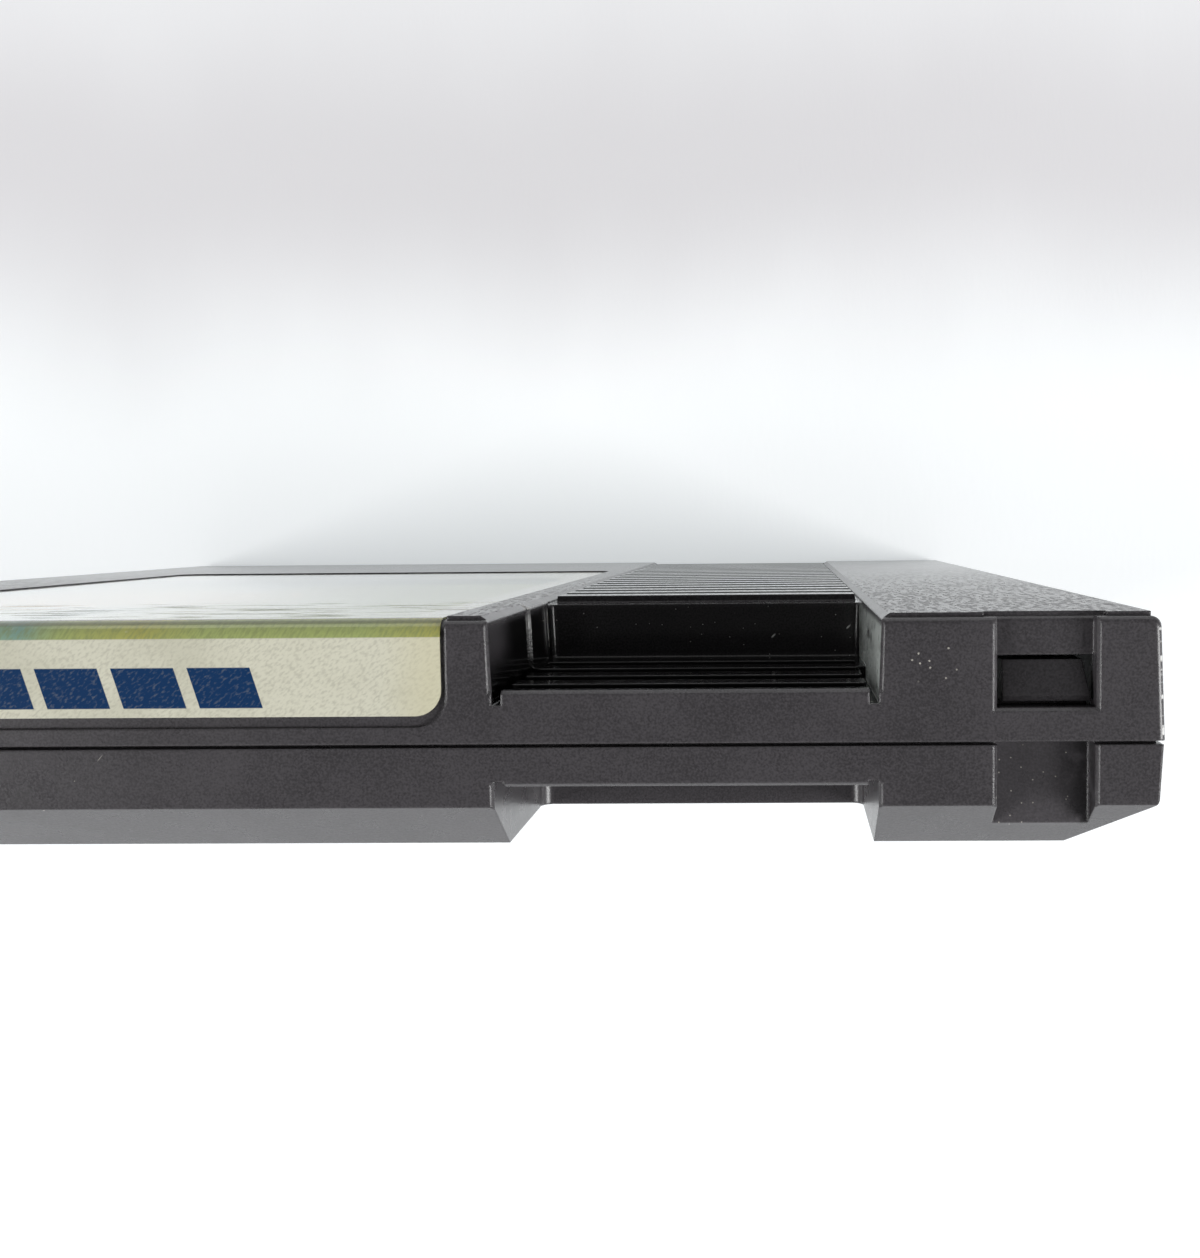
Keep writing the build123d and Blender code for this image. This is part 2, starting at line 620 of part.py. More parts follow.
# Paper label, folded over the label end
with BuildPart() as wrap_label:
    sheet = folded_sheet(
        label_left,
        label_right,
        label_bottom,
        label_flap_y,
        LABEL_GLUE,
        LABEL_THICKNESS,
        LABEL_CORNER,
    )
    add(sheet)
wrap_label.part.label = "wrap_label"

# Case screws, driven from the back
with BuildPart() as case_screws:
    with BuildSketch(front_plane(part_y + HEAD_SEAT)):
        with Locations(*screw_points):
            Circle(SCREW_HEAD_DIAMETER / 2)
    extrude(amount=-SCREW_HEAD)
    with BuildSketch(front_plane(part_y + HEAD_SEAT)):
        with Locations(*screw_points):
            Circle(SCREW_DIAMETER / 2)
    extrude(amount=HEAD_SEAT + SCREW_REACH)
    tips = case_screws.faces().sort_by(Axis.Y)[: len(screw_points)]
    chamfer(tips.edges(), SCREW_TIP / 2)
    with BuildSketch(front_plane(part_y + HEAD_SEAT + SCREW_HEAD)):
        with Locations(*screw_points):
            RegularPolygon(SCREW_SOCKET, 6)
    extrude(amount=SCREW_SOCKET_DEPTH, mode=Mode.SUBTRACT)
case_screws.part.label = "case_screws"


def lead_heights(pins, pitch):
    """Heights of the leads in one row, from the lowest."""
    first = chip_low + CHIP_END
    return [first + row * pitch for row in range(pins // 2)]


def package(x, pins, pitch, width):
    """Moulded package body with drafted sides and a round notch at its upper end."""
    length = package_length(pins, pitch)
    middle_y = board_front_y - CHIP_STANDOFF - CHIP_HEIGHT / 2
    top_y = middle_y - CHIP_HEIGHT / 2
    with BuildPart() as body:
        with BuildSketch(front_plane(middle_y)):
            with Locations((x, chip_low + length / 2)):
                Rectangle(width, length)
        extrude(amount=CHIP_HEIGHT / 2, both=True, taper=CHIP_DRAFT)
        with BuildSketch(front_plane(top_y + CHIP_NOTCH_DEPTH)):
            with Locations((x, chip_low + length)):
                Circle(CHIP_NOTCH)
        extrude(amount=CHIP_HEIGHT, mode=Mode.SUBTRACT)
    return body.part


def lead_profile(x, inner, row_x):
    """Section of one lead: out from the package, then down through the board."""
    side = 1 if row_x > x else -1
    shoulder_y = board_front_y - CHIP_STANDOFF - CHIP_HEIGHT / 2
    tail_y = board_back_y + LEAD_TAIL
    outer_x = row_x + side * LEAD_THICKNESS / 2
    inner_x = row_x - side * LEAD_THICKNESS / 2
    upper_y = shoulder_y - LEAD_THICKNESS / 2
    lower_y = shoulder_y + LEAD_THICKNESS / 2
    Polyline(
        (x + side * inner, upper_y),
        (outer_x, upper_y),
        (outer_x, tail_y),
        (inner_x, tail_y),
        (inner_x, lower_y),
        (x + side * inner, lower_y),
        close=True,
    )


def package_leads(x, pins, pitch, width, rows):
    """Two rows of bent leads for one package."""
    planes = [Plane.XY.offset(z - LEAD_WIDTH / 2) for z in lead_heights(pins, pitch)]
    with BuildPart() as leads:
        for row_x in (x - rows / 2, x + rows / 2):
            with BuildSketch(*planes):
                with BuildLine():
                    lead_profile(x, width / 2, row_x)
                make_face()
        extrude(amount=LEAD_WIDTH)
    return leads.part


chips = [
    ("program_rom", program_x, MEMORY_LEAD_COUNT, LEAD_PITCH, MEMORY_WIDTH, MEMORY_ROWS),
    ("character_rom", character_x, MEMORY_LEAD_COUNT, LEAD_PITCH, MEMORY_WIDTH, MEMORY_ROWS),
    ("bank_switch_chip", bank_x, BANK_LEAD_COUNT, LEAD_FINE_PITCH, SMALL_WIDTH, SMALL_ROWS),
    ("lockout_chip", lockout_x, LOCKOUT_LEAD_COUNT, LEAD_PITCH, SMALL_WIDTH, SMALL_ROWS),
]

# Ceramic capacitors stand between the packages, the can lies at the right
bypass_z = board_top - BYPASS_DROP
bypass_x = [
    (program_x + character_x) / 2,
    (character_x + MEMORY_ROWS / 2 + bank_x - SMALL_ROWS / 2) / 2,
    (bank_x + lockout_x) / 2,
]
bypass_holes = [(x + side * LEAD_PITCH / 2, bypass_z) for x in bypass_x for side in (-1, 1)]
can_low = chip_low + CAN_LEAD_RUN + LEAD_WIDTH
can_y = board_front_y - CAN_GAP - CAN_DIAMETER / 2
can_holes = [(can_x + side * CAN_LEAD_PITCH / 2, chip_low) for side in (-1, 1)]
lead_holes = [
    (x + side * rows / 2, z)
    for name, x, pins, pitch, width, rows in chips
    for side in (-1, 1)
    for z in lead_heights(pins, pitch)
]

# Circuit board with square lead holes and two holes for the pegs
with BuildPart() as circuit_board:
    with BuildSketch(front_plane(board_back_y)) as outline:
        with Locations((0, board_z)):
            Rectangle(board_width, board_height)
        chamfer(outline.vertices().group_by(Axis.Z)[0], BOARD_CORNER)
        with Locations(*lead_holes, *bypass_holes, *can_holes):
            Rectangle(LEAD_HOLE, LEAD_HOLE, mode=Mode.SUBTRACT)
        with Locations(*peg_points):
            Circle(PEG_DIAMETER / 2 + BOARD_PLAY, mode=Mode.SUBTRACT)
    extrude(amount=BOARD_THICKNESS)
circuit_board.part.label = "circuit_board"


def contact_row(face_y_at, lift):
    """A row of flat edge contacts on one face of the board."""
    with BuildPart() as row:
        with BuildSketch(front_plane(face_y_at)):
            with Locations((0, contact_z)):
                with GridLocations(CONTACT_PITCH, 0, contact_count, 1):
                    Rectangle(CONTACT_WIDTH, CONTACT_LENGTH)
        extrude(amount=lift)
    return row.part


# Ceramic capacitor bodies and their straight leads
with BuildPart() as bypass_capacitors:
    with BuildSketch(front_plane(board_front_y - CHIP_STANDOFF)):
        with Locations(*[(x, bypass_z) for x in bypass_x]):
            RectangleRounded(BYPASS_WIDTH, BYPASS_THICKNESS, BYPASS_CORNER)
    extrude(amount=BYPASS_HEIGHT)
with BuildPart() as bypass_capacitor_leads:
    with BuildSketch(front_plane(board_back_y + LEAD_TAIL)):
        with Locations(*bypass_holes):
            Rectangle(LEAD_WIDTH, LEAD_WIDTH)
    extrude(amount=LEAD_TAIL + BOARD_THICKNESS + CHIP_STANDOFF)

# Electrolytic can lying on the board, with leads bent down from its lower end
with BuildPart() as filter_capacitor:
    with BuildSketch(Plane.XY.offset(can_low)):
        with Locations((can_x, can_y)):
            Circle(CAN_DIAMETER / 2)
    extrude(amount=CAN_LENGTH)
    chamfer(filter_capacitor.edges().filter_by(GeomType.CIRCLE), CAN_EDGE)
with BuildPart() as filter_capacitor_leads:
    for hole_x, hole_z in can_holes:
        with BuildSketch(Plane.YZ.offset(hole_x - LEAD_WIDTH / 2)):
            with BuildLine():
                Polyline(
                    (can_y - LEAD_WIDTH / 2, can_low),
                    (can_y - LEAD_WIDTH / 2, hole_z - LEAD_WIDTH / 2),
                    (board_back_y + LEAD_TAIL, hole_z - LEAD_WIDTH / 2),
                    (board_back_y + LEAD_TAIL, hole_z + LEAD_WIDTH / 2),
                    (can_y + LEAD_WIDTH / 2, hole_z + LEAD_WIDTH / 2),
                    (can_y + LEAD_WIDTH / 2, can_low),
                    close=True,
                )
            make_face()
    extrude(amount=LEAD_WIDTH)

pieces = {
    "front_shell": front_shell.part,
    "back_shell": back_shell.part,
    "wrap_label": wrap_label.part,
    "case_screws": case_screws.part,
    "circuit_board": circuit_board.part,
    "front_contacts": contact_row(board_front_y, CONTACT_THICKNESS),
    "rear_contacts": contact_row(board_back_y, -CONTACT_THICKNESS),
    "bypass_capacitors": bypass_capacitors.part,
    "bypass_capacitor_leads": bypass_capacitor_leads.part,
    "filter_capacitor": filter_capacitor.part,
    "filter_capacitor_leads": filter_capacitor_leads.part,
}
for name, x, pins, pitch, width, rows in chips:
    pieces[name] = package(x, pins, pitch, width)
    pieces[name.removesuffix("_chip") + "_leads"] = package_leads(x, pins, pitch, width, rows)

os.makedirs("parts", exist_ok=True)
for name, piece in pieces.items():
    piece.label = name
    export_step(piece, f"parts/{name}.step")
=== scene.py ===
import bmesh
import bpy
from bpy.props import FloatProperty, FloatVectorProperty, PointerProperty
from mathutils import Matrix, Vector


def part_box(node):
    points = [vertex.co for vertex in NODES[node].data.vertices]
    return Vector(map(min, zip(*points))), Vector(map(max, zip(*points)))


bl_info = {
    "name": "Game Cartridge",
    "version": (1, 0, 0),
    "blender": (4, 5, 0),
    "location": "3D View > Sidebar > Cartridge",
    "description": "Finishes a moulded game cartridge and sets it on a white table",
    "category": "Object",
}

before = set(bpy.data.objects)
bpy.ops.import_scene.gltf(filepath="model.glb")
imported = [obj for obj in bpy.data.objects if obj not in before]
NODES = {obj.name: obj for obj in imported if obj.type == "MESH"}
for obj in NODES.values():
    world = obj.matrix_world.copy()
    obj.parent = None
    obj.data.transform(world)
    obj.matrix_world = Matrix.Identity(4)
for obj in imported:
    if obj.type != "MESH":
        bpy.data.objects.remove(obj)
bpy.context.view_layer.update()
MM = 0.001

FRONT_LOW, FRONT_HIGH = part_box("front_shell")
LABEL_LOW, LABEL_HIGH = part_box("wrap_label")

# Places on the case in millimetres
SIDE_X = FRONT_HIGH.x / MM
PANEL_Y = FRONT_LOW.y / MM
PART_Y = FRONT_HIGH.y / MM
TOP_Z = FRONT_HIGH.z / MM
COLUMN_LEFT, COLUMN_RIGHT = -41.75, -14.2
RECESS_LEFT, RECESS_RIGHT = -41.15, -14.8
LIP_Y = PANEL_Y + 0.4
COLUMN_FLOOR_Y = PANEL_Y + 0.6
RECESS_Z = TOP_Z - 24.2
JOG_Z = TOP_Z - 15.3
LINE_END_Y = -4.2
LESS_SHADE_LOW_Y, LESS_SHADE_HIGH_Y = -6.2, -3.8
SNAP_LEFT, SNAP_RIGHT = 48.8, 55.4
HOOK_Y = PART_Y - 2.1
WORN_X, WORN_Y = -44.6, -5.3
MOULD_SOFT = 0.02

# Places on the label in millimetres: U across it, V up its front, the band and blocks back from its fold
LABEL_WIDTH = (LABEL_HIGH.x - LABEL_LOW.x) / MM
DISC_U, DISC_V, DISC_RADIUS = 36, 62, 13
RING_INNER, RING_OUTER = 15, 16
HILL_V, FURROW_PITCH = 34, 9
PLATE_V = 20
BAR_LEFT, BAR_RIGHT, BAR_LOW, BAR_HIGH = 7, 38, 8, 11
BORDER, BORDER_TOP = 2.2, 88
STREAK_LOW, STREAK_HIGH = 72, 90
BAND_END = 1.2
BLOCK_START, BLOCK_END = 11.6, 51
BLOCK_LOW, BLOCK_MIDDLE, BLOCK_HIGH = 3.2, 4.5, 5.95
BLOCK_PITCH, BLOCK_GAP, BLOCK_SLANT = 5.2, 0.9, 0.3
PRINT_SOFT = 0.04

# Colours of the print and of its wear
WEAVE_GREEN = (0.23, 0.27, 0.12)
DISC_ORANGE = (0.62, 0.40, 0.12)
HILL_GREEN = (0.05, 0.10, 0.06)
FIBRE_GREY = (0.38, 0.37, 0.30)
STAIN_GREY = (0.44, 0.43, 0.33)
AGED_YELLOW = (0.62, 0.58, 0.38)
FOLD_DARK = (0.09, 0.10, 0.05)
STREAK_GREY = (0.34, 0.34, 0.37)
CRACK_DARK = (0.08, 0.08, 0.08)

# The camera as fitted to the photo, in metres, radians and photo pixels
EYE = (-0.034535, -0.014243, 0.227048)
EYE_TURN = (-0.0742, 0.0224, -0.0079)
PHOTO_WIDTH, FOCAL_LENGTH, CENTRE_X = 1200, 1413.15, 750.25

TABLE_REACH = 4.0


class CaseLook(bpy.types.PropertyGroup):
    """Colours and finish of the moulded case"""

    grey: FloatVectorProperty(
        name="Grey", description="Moulded plastic", subtype="COLOR", size=3, min=0, max=1,
        default=(0.0500, 0.0465, 0.0505),
    )
    # Painted shade with some soiling: in the recess, on the snap hooks and in the corners of their channels
    shade_and_grime: FloatVectorProperty(
        name="Shade and soiling", description="Painted shade and some soiling in corners and recesses",
        subtype="COLOR", size=3, min=0, max=1, default=(0.002, 0.002, 0.002),
    )
    # Painted sheen on the recess wall and the ribs' shoulders
    painted_sheen: FloatVectorProperty(
        name="Painted sheen", description="Painted sheen on the recess wall and the ribs' shoulders", subtype="COLOR", size=3, min=0, max=1,
        default=(0.42, 0.45, 0.43),
    )
    scuff: FloatVectorProperty(
        name="Scuff", description="Specks, scratches and worn edges", subtype="COLOR", size=3, min=0, max=1,
        default=(0.42, 0.40, 0.36),
    )
    # Fibres in the recess, and painted highlights along its label side and the outer edge of the end
    lint_and_glint: FloatVectorProperty(
        name="Fibres and glints", description="Fibres in the recess, and painted highlights in lines and dashes",
        subtype="COLOR", size=3, min=0, max=1, default=(0.80, 0.80, 0.78),
    )
    grain: FloatProperty(
        name="Panel grain", description="Height of the spark texture on the panel",
        subtype="DISTANCE", min=0, default=0.00005,
    )
    edge: FloatProperty(
        name="Edge softness", description="Radius of the rounded look on moulded edges",
        subtype="DISTANCE", min=0, default=0.00022,
    )


class LabelLook(bpy.types.PropertyGroup):
    """Colours of the printed label"""

    paper: FloatVectorProperty(
        name="Paper", description="Aged cream paper", subtype="COLOR", size=3, min=0, max=1,
        default=(0.65, 0.64, 0.525),
    )
    ink: FloatVectorProperty(
        name="Ink", description="Blue blocks", subtype="COLOR", size=3, min=0, max=1,
        default=(0.004, 0.032, 0.105),
    )
    olive: FloatVectorProperty(
        name="Olive", description="Main colour of the printed band", subtype="COLOR", size=3, min=0, max=1,
        default=(0.35, 0.405, 0.155),
    )
    yellow: FloatVectorProperty(
        name="Yellow", description="Warm patches of the print", subtype="COLOR", size=3, min=0, max=1,
        default=(0.39, 0.375, 0.110),
    )
    teal: FloatVectorProperty(
        name="Teal", description="Cool patches of the print", subtype="COLOR", size=3, min=0, max=1,
        default=(0.21, 0.34, 0.29),
    )


class StageLook(bpy.types.PropertyGroup):
    """Table and light"""

    table: FloatVectorProperty(
        name="Table", description="White table top", subtype="COLOR", size=3, min=0, max=1,
        default=(0.90, 0.90, 0.905),
    )
    far_table: FloatVectorProperty(
        name="Far table", description="Table top away from the light", subtype="COLOR", size=3, min=0, max=1,
        default=(0.620, 0.598, 0.610),
    )
    cool: FloatVectorProperty(
        name="Shadow tint", description="Tint of the table where the light is low",
        subtype="COLOR", size=3, min=0, max=1, default=(0.935, 0.985, 1.0),
    )
    glow: FloatProperty(
        name="Table glow", description="Pale tone the table shows of itself", min=0, max=1, default=0.63,
    )
    shade: FloatProperty(
        name="Table shade", description="How much the light adds to that tone", min=0, max=1, default=0.60,
    )
    left: FloatProperty(
        name="Left light", description="Soft light on the label side", subtype="POWER", min=0, default=6.5,
    )
    right: FloatProperty(
        name="Right light", description="Soft light on the column side", subtype="POWER", min=0, default=8.6,
    )
    front: FloatProperty(
        name="Front light", description="Soft light on the label", subtype="POWER", min=0, default=2.4,
    )
    key: FloatProperty(
        name="Back light", description="Soft light behind the case", subtype="POWER", min=0, default=1.2,
    )
    sky: FloatProperty(name="Surround", description="Strength of the pale surround", min=0, default=0.75)


class Wire:
    """A value on its way through a material's nodes"""

    def __init__(self, finish, socket):
        self.finish = finish
        self.socket = socket

    def maths(self, operation, first, second):
        return self.finish.node("ShaderNodeMath", {"operation": operation}, {0: first, 1: second})

    def __add__(self, other):
        return self.maths("ADD", self, other)

    def __radd__(self, other):
        return self.maths("ADD", other, self)

    def __sub__(self, other):
        return self.maths("SUBTRACT", self, other)

    def __rsub__(self, other):
        return self.maths("SUBTRACT", other, self)

    def __mul__(self, other):
        return self.maths("MULTIPLY", self, other)

    def __rmul__(self, other):
        return self.maths("MULTIPLY", other, self)

    def __truediv__(self, other):
        return self.maths("DIVIDE", self, other)

    def __mod__(self, other):
        return self.maths("FLOORED_MODULO", self, other)

    def __abs__(self):
        return self.maths("ABSOLUTE", self, 0)

    def __or__(self, other):
        return self.maths("MAXIMUM", self, other)


class Finish:
    """A procedural material, with positions in millimetres on the object"""

    def __init__(self, name):
        self.material = bpy.data.materials.new(name)
        self.material.use_nodes = True
        self.tree = self.material.node_tree
        self.tree.nodes.clear()
        place = self.node("ShaderNodeTexCoord", output="Object")
        self.spot = self.node("ShaderNodeVectorMath", {"operation": "SCALE"}, {0: place, "Scale": 1 / MM})
        self.x, self.y, self.z = (self.part(self.spot, axis) for axis in "XYZ")

    def node(self, kind, settings=None, sockets=None, output=0):
        made = self.tree.nodes.new(kind)
        for name, value in (settings or {}).items():
            if name == "stops":
                ramp = made.color_ramp
                while len(ramp.elements) < len(value):
                    ramp.elements.new(1.0)
                for element, (position, colour) in zip(ramp.elements, value):
                    element.position = position
                    element.color = (*colour, 1.0)
            else:
                setattr(made, name, value)
        for name, value in (sockets or {}).items():
            if isinstance(value, Wire):
                self.tree.links.new(value.socket, made.inputs[name])
            else:
                made.inputs[name].default_value = value
        return Wire(self, made.outputs[output])

    def part(self, vector, axis):
        return self.node("ShaderNodeSeparateXYZ", {}, {0: vector}, axis)

    def rise(self, value, low, high):
        """0 below low, 1 above high, smooth between"""
        ends = {"Value": value, "From Min": low, "From Max": high}
        return self.node("ShaderNodeMapRange", {"interpolation_type": "SMOOTHSTEP"}, ends)

    def between(self, value, low, high, soft):
        """1 from low to high, with soft ends"""
        return self.rise(value, low - soft, low + soft) * (1 - self.rise(value, high - soft, high + soft))

    def scatter(self, stretch, turn, shift=(0, 0, 0)):
        """Positions that are turned first and stretched then"""
        turned = self.node("ShaderNodeMapping", {}, {0: self.spot, "Location": shift, "Rotation": turn})
        return self.node("ShaderNodeVectorMath", {"operation": "MULTIPLY"}, {0: turned, 1: stretch})

    def noise(self, scale, detail=2.0, stretch=(1, 1, 1), turn=(0, 0, 0), shift=(0, 0, 0)):
        """Cloudy noise with that many cells to the millimetre"""
        ends = {"Vector": self.scatter(stretch, turn, shift), "Scale": scale, "Detail": detail}
        return self.node("ShaderNodeTexNoise", {}, ends)

    def flecks(self, scale, radius, share, stretch=(1, 1, 1), turn=(0, 0, 0), flat=False):
        """Scattered dots, or short strokes where stretched, on all sides or flat on the end"""
        kind = {"voronoi_dimensions": "2D" if flat else "3D"}
        ends = {"Vector": self.scatter(stretch, turn), "Scale": scale}
        near = self.node("ShaderNodeTexVoronoi", kind, ends)
        draw = self.node("ShaderNodeTexVoronoi", kind, ends, "Color")
        chance = self.node("ShaderNodeSeparateColor", {}, {0: draw})
        return (1 - self.rise(near, radius * 0.5, radius)) * self.rise(chance, 1 - share, 1 - share + 0.02)

    def mix(self, factor, first, second, blend="MIX"):
        """First colour at factor 0, blended with the second at factor 1"""
        first = first if isinstance(first, Wire) else (*first, 1.0)
        second = second if isinstance(second, Wire) else (*second, 1.0)
        ends = {0: factor, 6: first, 7: second}
        return self.node("ShaderNodeMix", {"data_type": "RGBA", "blend_type": blend}, ends, 2)

    def bump(self, height, distance, normal=None, strength=1.0):
        ends = {"Height": height, "Distance": distance, "Strength": strength}
        if normal:
            ends["Normal"] = normal
        return self.node("ShaderNodeBump", {}, ends)

    def soft_edges(self, radius):
        return self.node("ShaderNodeBevel", {"samples": 6}, {"Radius": radius})

    def shader(self, **sockets):
        names = {name.replace("_", " "): value for name, value in sockets.items()}
        for name, value in names.items():
            if name.endswith("Color") and not isinstance(value, Wire):
                names[name] = (*value, 1.0)
        return self.node("ShaderNodeBsdfPrincipled", {}, names)

    def end(self, shader):
        output = self.tree.nodes.new("ShaderNodeOutputMaterial")
        self.tree.links.new(shader.socket, output.inputs["Surface"])
        return self.material

    def close(self, **sockets):
        """Ends the material in one shader"""
        return self.end(self.shader(**sockets))


def dress(node, material):
    """Gives a CAD node its finish"""
    mesh = NODES[node].data
    mesh.materials.clear()
    mesh.materials.append(material)


def plastic_wear(look, finish, colour):
    """Cloudy tone, fine mottling, dusty specks and scratches that all of the case has"""
    tone = 0.28 * finish.noise(0.15, 3.0) + 0.72 * finish.noise(6.4, 2.0)
    pale = finish.rise(tone, 0.34, 0.66)
    colour = finish.mix(0.3 * (1 - pale), colour, (0, 0, 0))
    colour = finish.mix(0.3 * pale, colour, [2.0 * part for part in look.grey])
    speck = finish.flecks(0.5, 0.045, 0.30)
    stroke = finish.flecks(1.1, 0.05, 0.03, stretch=(1.0, 0.09, 1.0), turn=(0, 0, 0.7))
    patch = finish.rise(finish.noise(0.09, 1.0, shift=(7, 3, 0)), 0.45, 0.62)
    return finish.mix((speck | stroke * patch) * 0.85, colour, look.scuff)


def front_plastic(look):
    finish = Finish("front_plastic")
    x, y, z = finish.x, finish.y, finish.z
    panel = 1 - finish.rise(y, PANEL_Y + 0.03, PANEL_Y + 0.08)
    past = finish.rise(z, RECESS_Z - 0.2, RECESS_Z - 0.05)
    sunk = past * finish.rise(y, LIP_Y + 0.1, LIP_Y + 0.7) * (1 - finish.rise(z, TOP_Z - 0.45, TOP_Z - 0.25))
    inside = sunk * finish.between(x, RECESS_LEFT + 0.22, RECESS_RIGHT + 0.3, MOULD_SOFT)
    # Less painted shade on the recess's label-side wall near the end and its open front
    less_shade = finish.rise(z, TOP_Z - 10, TOP_Z - 3) * (1 - finish.rise(y, LESS_SHADE_LOW_Y, LESS_SHADE_HIGH_Y))
    inside = inside * (1 - 0.7 * less_shade * finish.rise(x, RECESS_RIGHT - 0.6, RECESS_RIGHT - 0.5))
    wall = sunk * finish.between(x, RECESS_LEFT - 0.2, RECESS_LEFT + 0.21, MOULD_SOFT)
    column = finish.between(x, RECESS_LEFT, RECESS_RIGHT, MOULD_SOFT) * (1 - past)
    column = column * (1 - finish.rise(y, COLUMN_FLOOR_Y + 0.05, COLUMN_FLOOR_Y + 0.1))
    strips = finish.between(x, COLUMN_LEFT, RECESS_LEFT, MOULD_SOFT)
    strips = strips | finish.between(x, RECESS_RIGHT, COLUMN_RIGHT, MOULD_SOFT)
    strips = strips * (1 - finish.rise(y, LIP_Y, LIP_Y + 0.05))
    strips = strips * finish.rise(y, PANEL_Y + 0.01, PANEL_Y + 0.03)
    colour = plastic_wear(look, finish, look.grey)
    # A patch of specks and hairs on the end, beside the recess
    off_x, off_y = x - WORN_X, y - WORN_Y
    worn = 1 - finish.rise(off_x * off_x + off_y * off_y, 1.5, 4.5)
    worn = worn * finish.rise(z, TOP_Z - 0.2, TOP_Z - 0.1)
    hairs = finish.flecks(1.4, 0.06, 0.4, stretch=(1.0, 0.12, 1.0), turn=(0, 0, 0.6), flat=True)
    dots = finish.flecks(1.7, 0.15, 0.45, flat=True)
    colour = finish.mix(worn * (0.5 * hairs | dots) * 0.9, colour, look.scuff)
    # Painted shade in the recess, with some soiling, less on its back wall, and a few fibres there
    rear = 1 - finish.rise(z, RECESS_Z + 0.1, RECESS_Z + 0.5)
    colour = finish.mix(inside * (0.88 + 0.2 * finish.noise(0.4, 3.0) - 0.5 * rear), colour, look.shade_and_grime)
    lint_and_glint = finish.flecks(0.30, 0.03, 0.5, stretch=(1.0, 0.35, 1.0), turn=(0, 0, 0.8), flat=True)
    lint_and_glint = lint_and_glint | 0.6 * finish.flecks(0.9, 0.05, 0.2, flat=True)
    colour = finish.mix(inside * rear * lint_and_glint, colour, look.lint_and_glint)
    # Painted sheen in pale streaks on the recess's far wall
    streak_sheen = finish.rise(finish.noise(0.45, 4.0, stretch=(1, 1, 0.35)), 0.25, 0.46)
    colour = finish.mix(wall * streak_sheen, colour, look.painted_sheen)
    # Painted highlights as bright lines down the label side of the recess, in its corner and at its jog
    corner = finish.between(z, RECESS_Z + 1.0, RECESS_Z + 1.4, 0.06)
    jog = finish.between(z, JOG_Z - 0.1, JOG_Z + 0.1, 0.03)
    down = finish.between(y, LIP_Y + 0.6, LINE_END_Y, 0.3) * finish.rise(finish.noise(0.9, 3.0), 0.3, 0.5)
    lines = (corner | 0.5 * jog) * down | jog * (1 - finish.rise(y, LIP_Y, LIP_Y + 0.1))
    lines = lines * finish.between(x, RECESS_RIGHT - 0.4, COLUMN_RIGHT, 0.05)
    colour = finish.mix(lines, colour, look.lint_and_glint)
    # Painted sheen on the ribs' shoulders
    facing = finish.node("ShaderNodeNewGeometry", output="Normal")
    upward = finish.rise(finish.part(facing, "Z"), 0.4, 0.9)
    upward = upward * (1 - finish.rise(z, RECESS_Z - 5.5, RECESS_Z - 4.5))
    colour = finish.mix(column * upward * 0.5, colour, look.painted_sheen)
    # Painted highlight in dashes along the outer edge of the end
    edge = abs(x) - SIDE_X + 0.04 * (PART_Y - y)
    dashes = finish.between(edge, -0.24, -0.08, 0.03) * finish.rise(z, TOP_Z - 0.5, TOP_Z - 0.4)
    dashes = dashes * finish.rise(finish.noise(1.3, 4.0, stretch=(0, 1, 0)), 0.50, 0.58)
    colour = finish.mix(dashes * 0.9, colour, look.lint_and_glint)
    # Spark texture on the panel, stronger near the label end, and smooth plastic elsewhere
    near = finish.rise(z, 20, TOP_Z)
    grain = finish.noise(3.2, 3.0, stretch=(1, 1, 0.22))
    pits = finish.rise(grain, 0.40, 0.62)
    fine = finish.noise(5.0, 2.0)
    height = panel * (0.35 + 0.45 * near) * (0.8 * grain + 0.4 * fine)
    height = height + (1 - panel) * (1 - (column | inside)) * 0.05 * fine
    rough = 0.25 + 0.06 * finish.noise(0.5, 2.0) + panel * (0.18 * pits * near - 0.05 * (1 - near) - 0.06)
    rough = rough - 0.15 * column - 0.03 * strips - 0.17 * inside
    normal = finish.bump(height, look.grain, finish.soft_edges(look.edge))
    return finish.close(Base_Color=colour, Roughness=rough, Normal=normal)


def back_plastic(look):
    finish = Finish("back_plastic")
    x, y, z = finish.x, finish.y, finish.z
    colour = plastic_wear(look, finish, look.grey)
    # The snap hooks are a little darker, painted shade in their windows
    across = finish.between(abs(x), SNAP_LEFT, SNAP_RIGHT, 0.1)
    hook = across * (1 - finish.rise(y, HOOK_Y - 0.1, HOOK_Y + 0.1))
    colour = finish.mix(hook * 0.5, colour, look.shade_and_grime)
    # Painted light makes their channels paler, and they turn darker in blotches towards the outer corner
    channel = across * finish.rise(y, PART_Y + 0.1, PART_Y + 0.4)
    channel = channel * finish.between(z, TOP_Z - 2.8, TOP_Z - 0.4, 0.1)
    colour = finish.mix(0.3 * channel, colour, [2.0 * part for part in look.grey])
    corner = finish.rise(abs(x), SNAP_RIGHT - 2.2, SNAP_RIGHT - 0.2)
    corner_dark = channel * (0.02 + 0.7 * corner) * finish.rise(finish.noise(0.9, 4.0), 0.3, 0.6)
    colour = finish.mix(corner_dark, colour, look.shade_and_grime)
    colour = finish.mix(channel * finish.flecks(1.3, 0.08, 0.2, flat=True) * 0.8, colour, look.scuff)
    fine = finish.noise(4.2, 3.0)
    rough = 0.24 + 0.08 * finish.noise(0.5, 2.0)
    normal = finish.bump(fine * 0.2, look.grain, finish.soft_edges(look.edge))
    return finish.close(Base_Color=colour, Roughness=rough, Normal=normal)


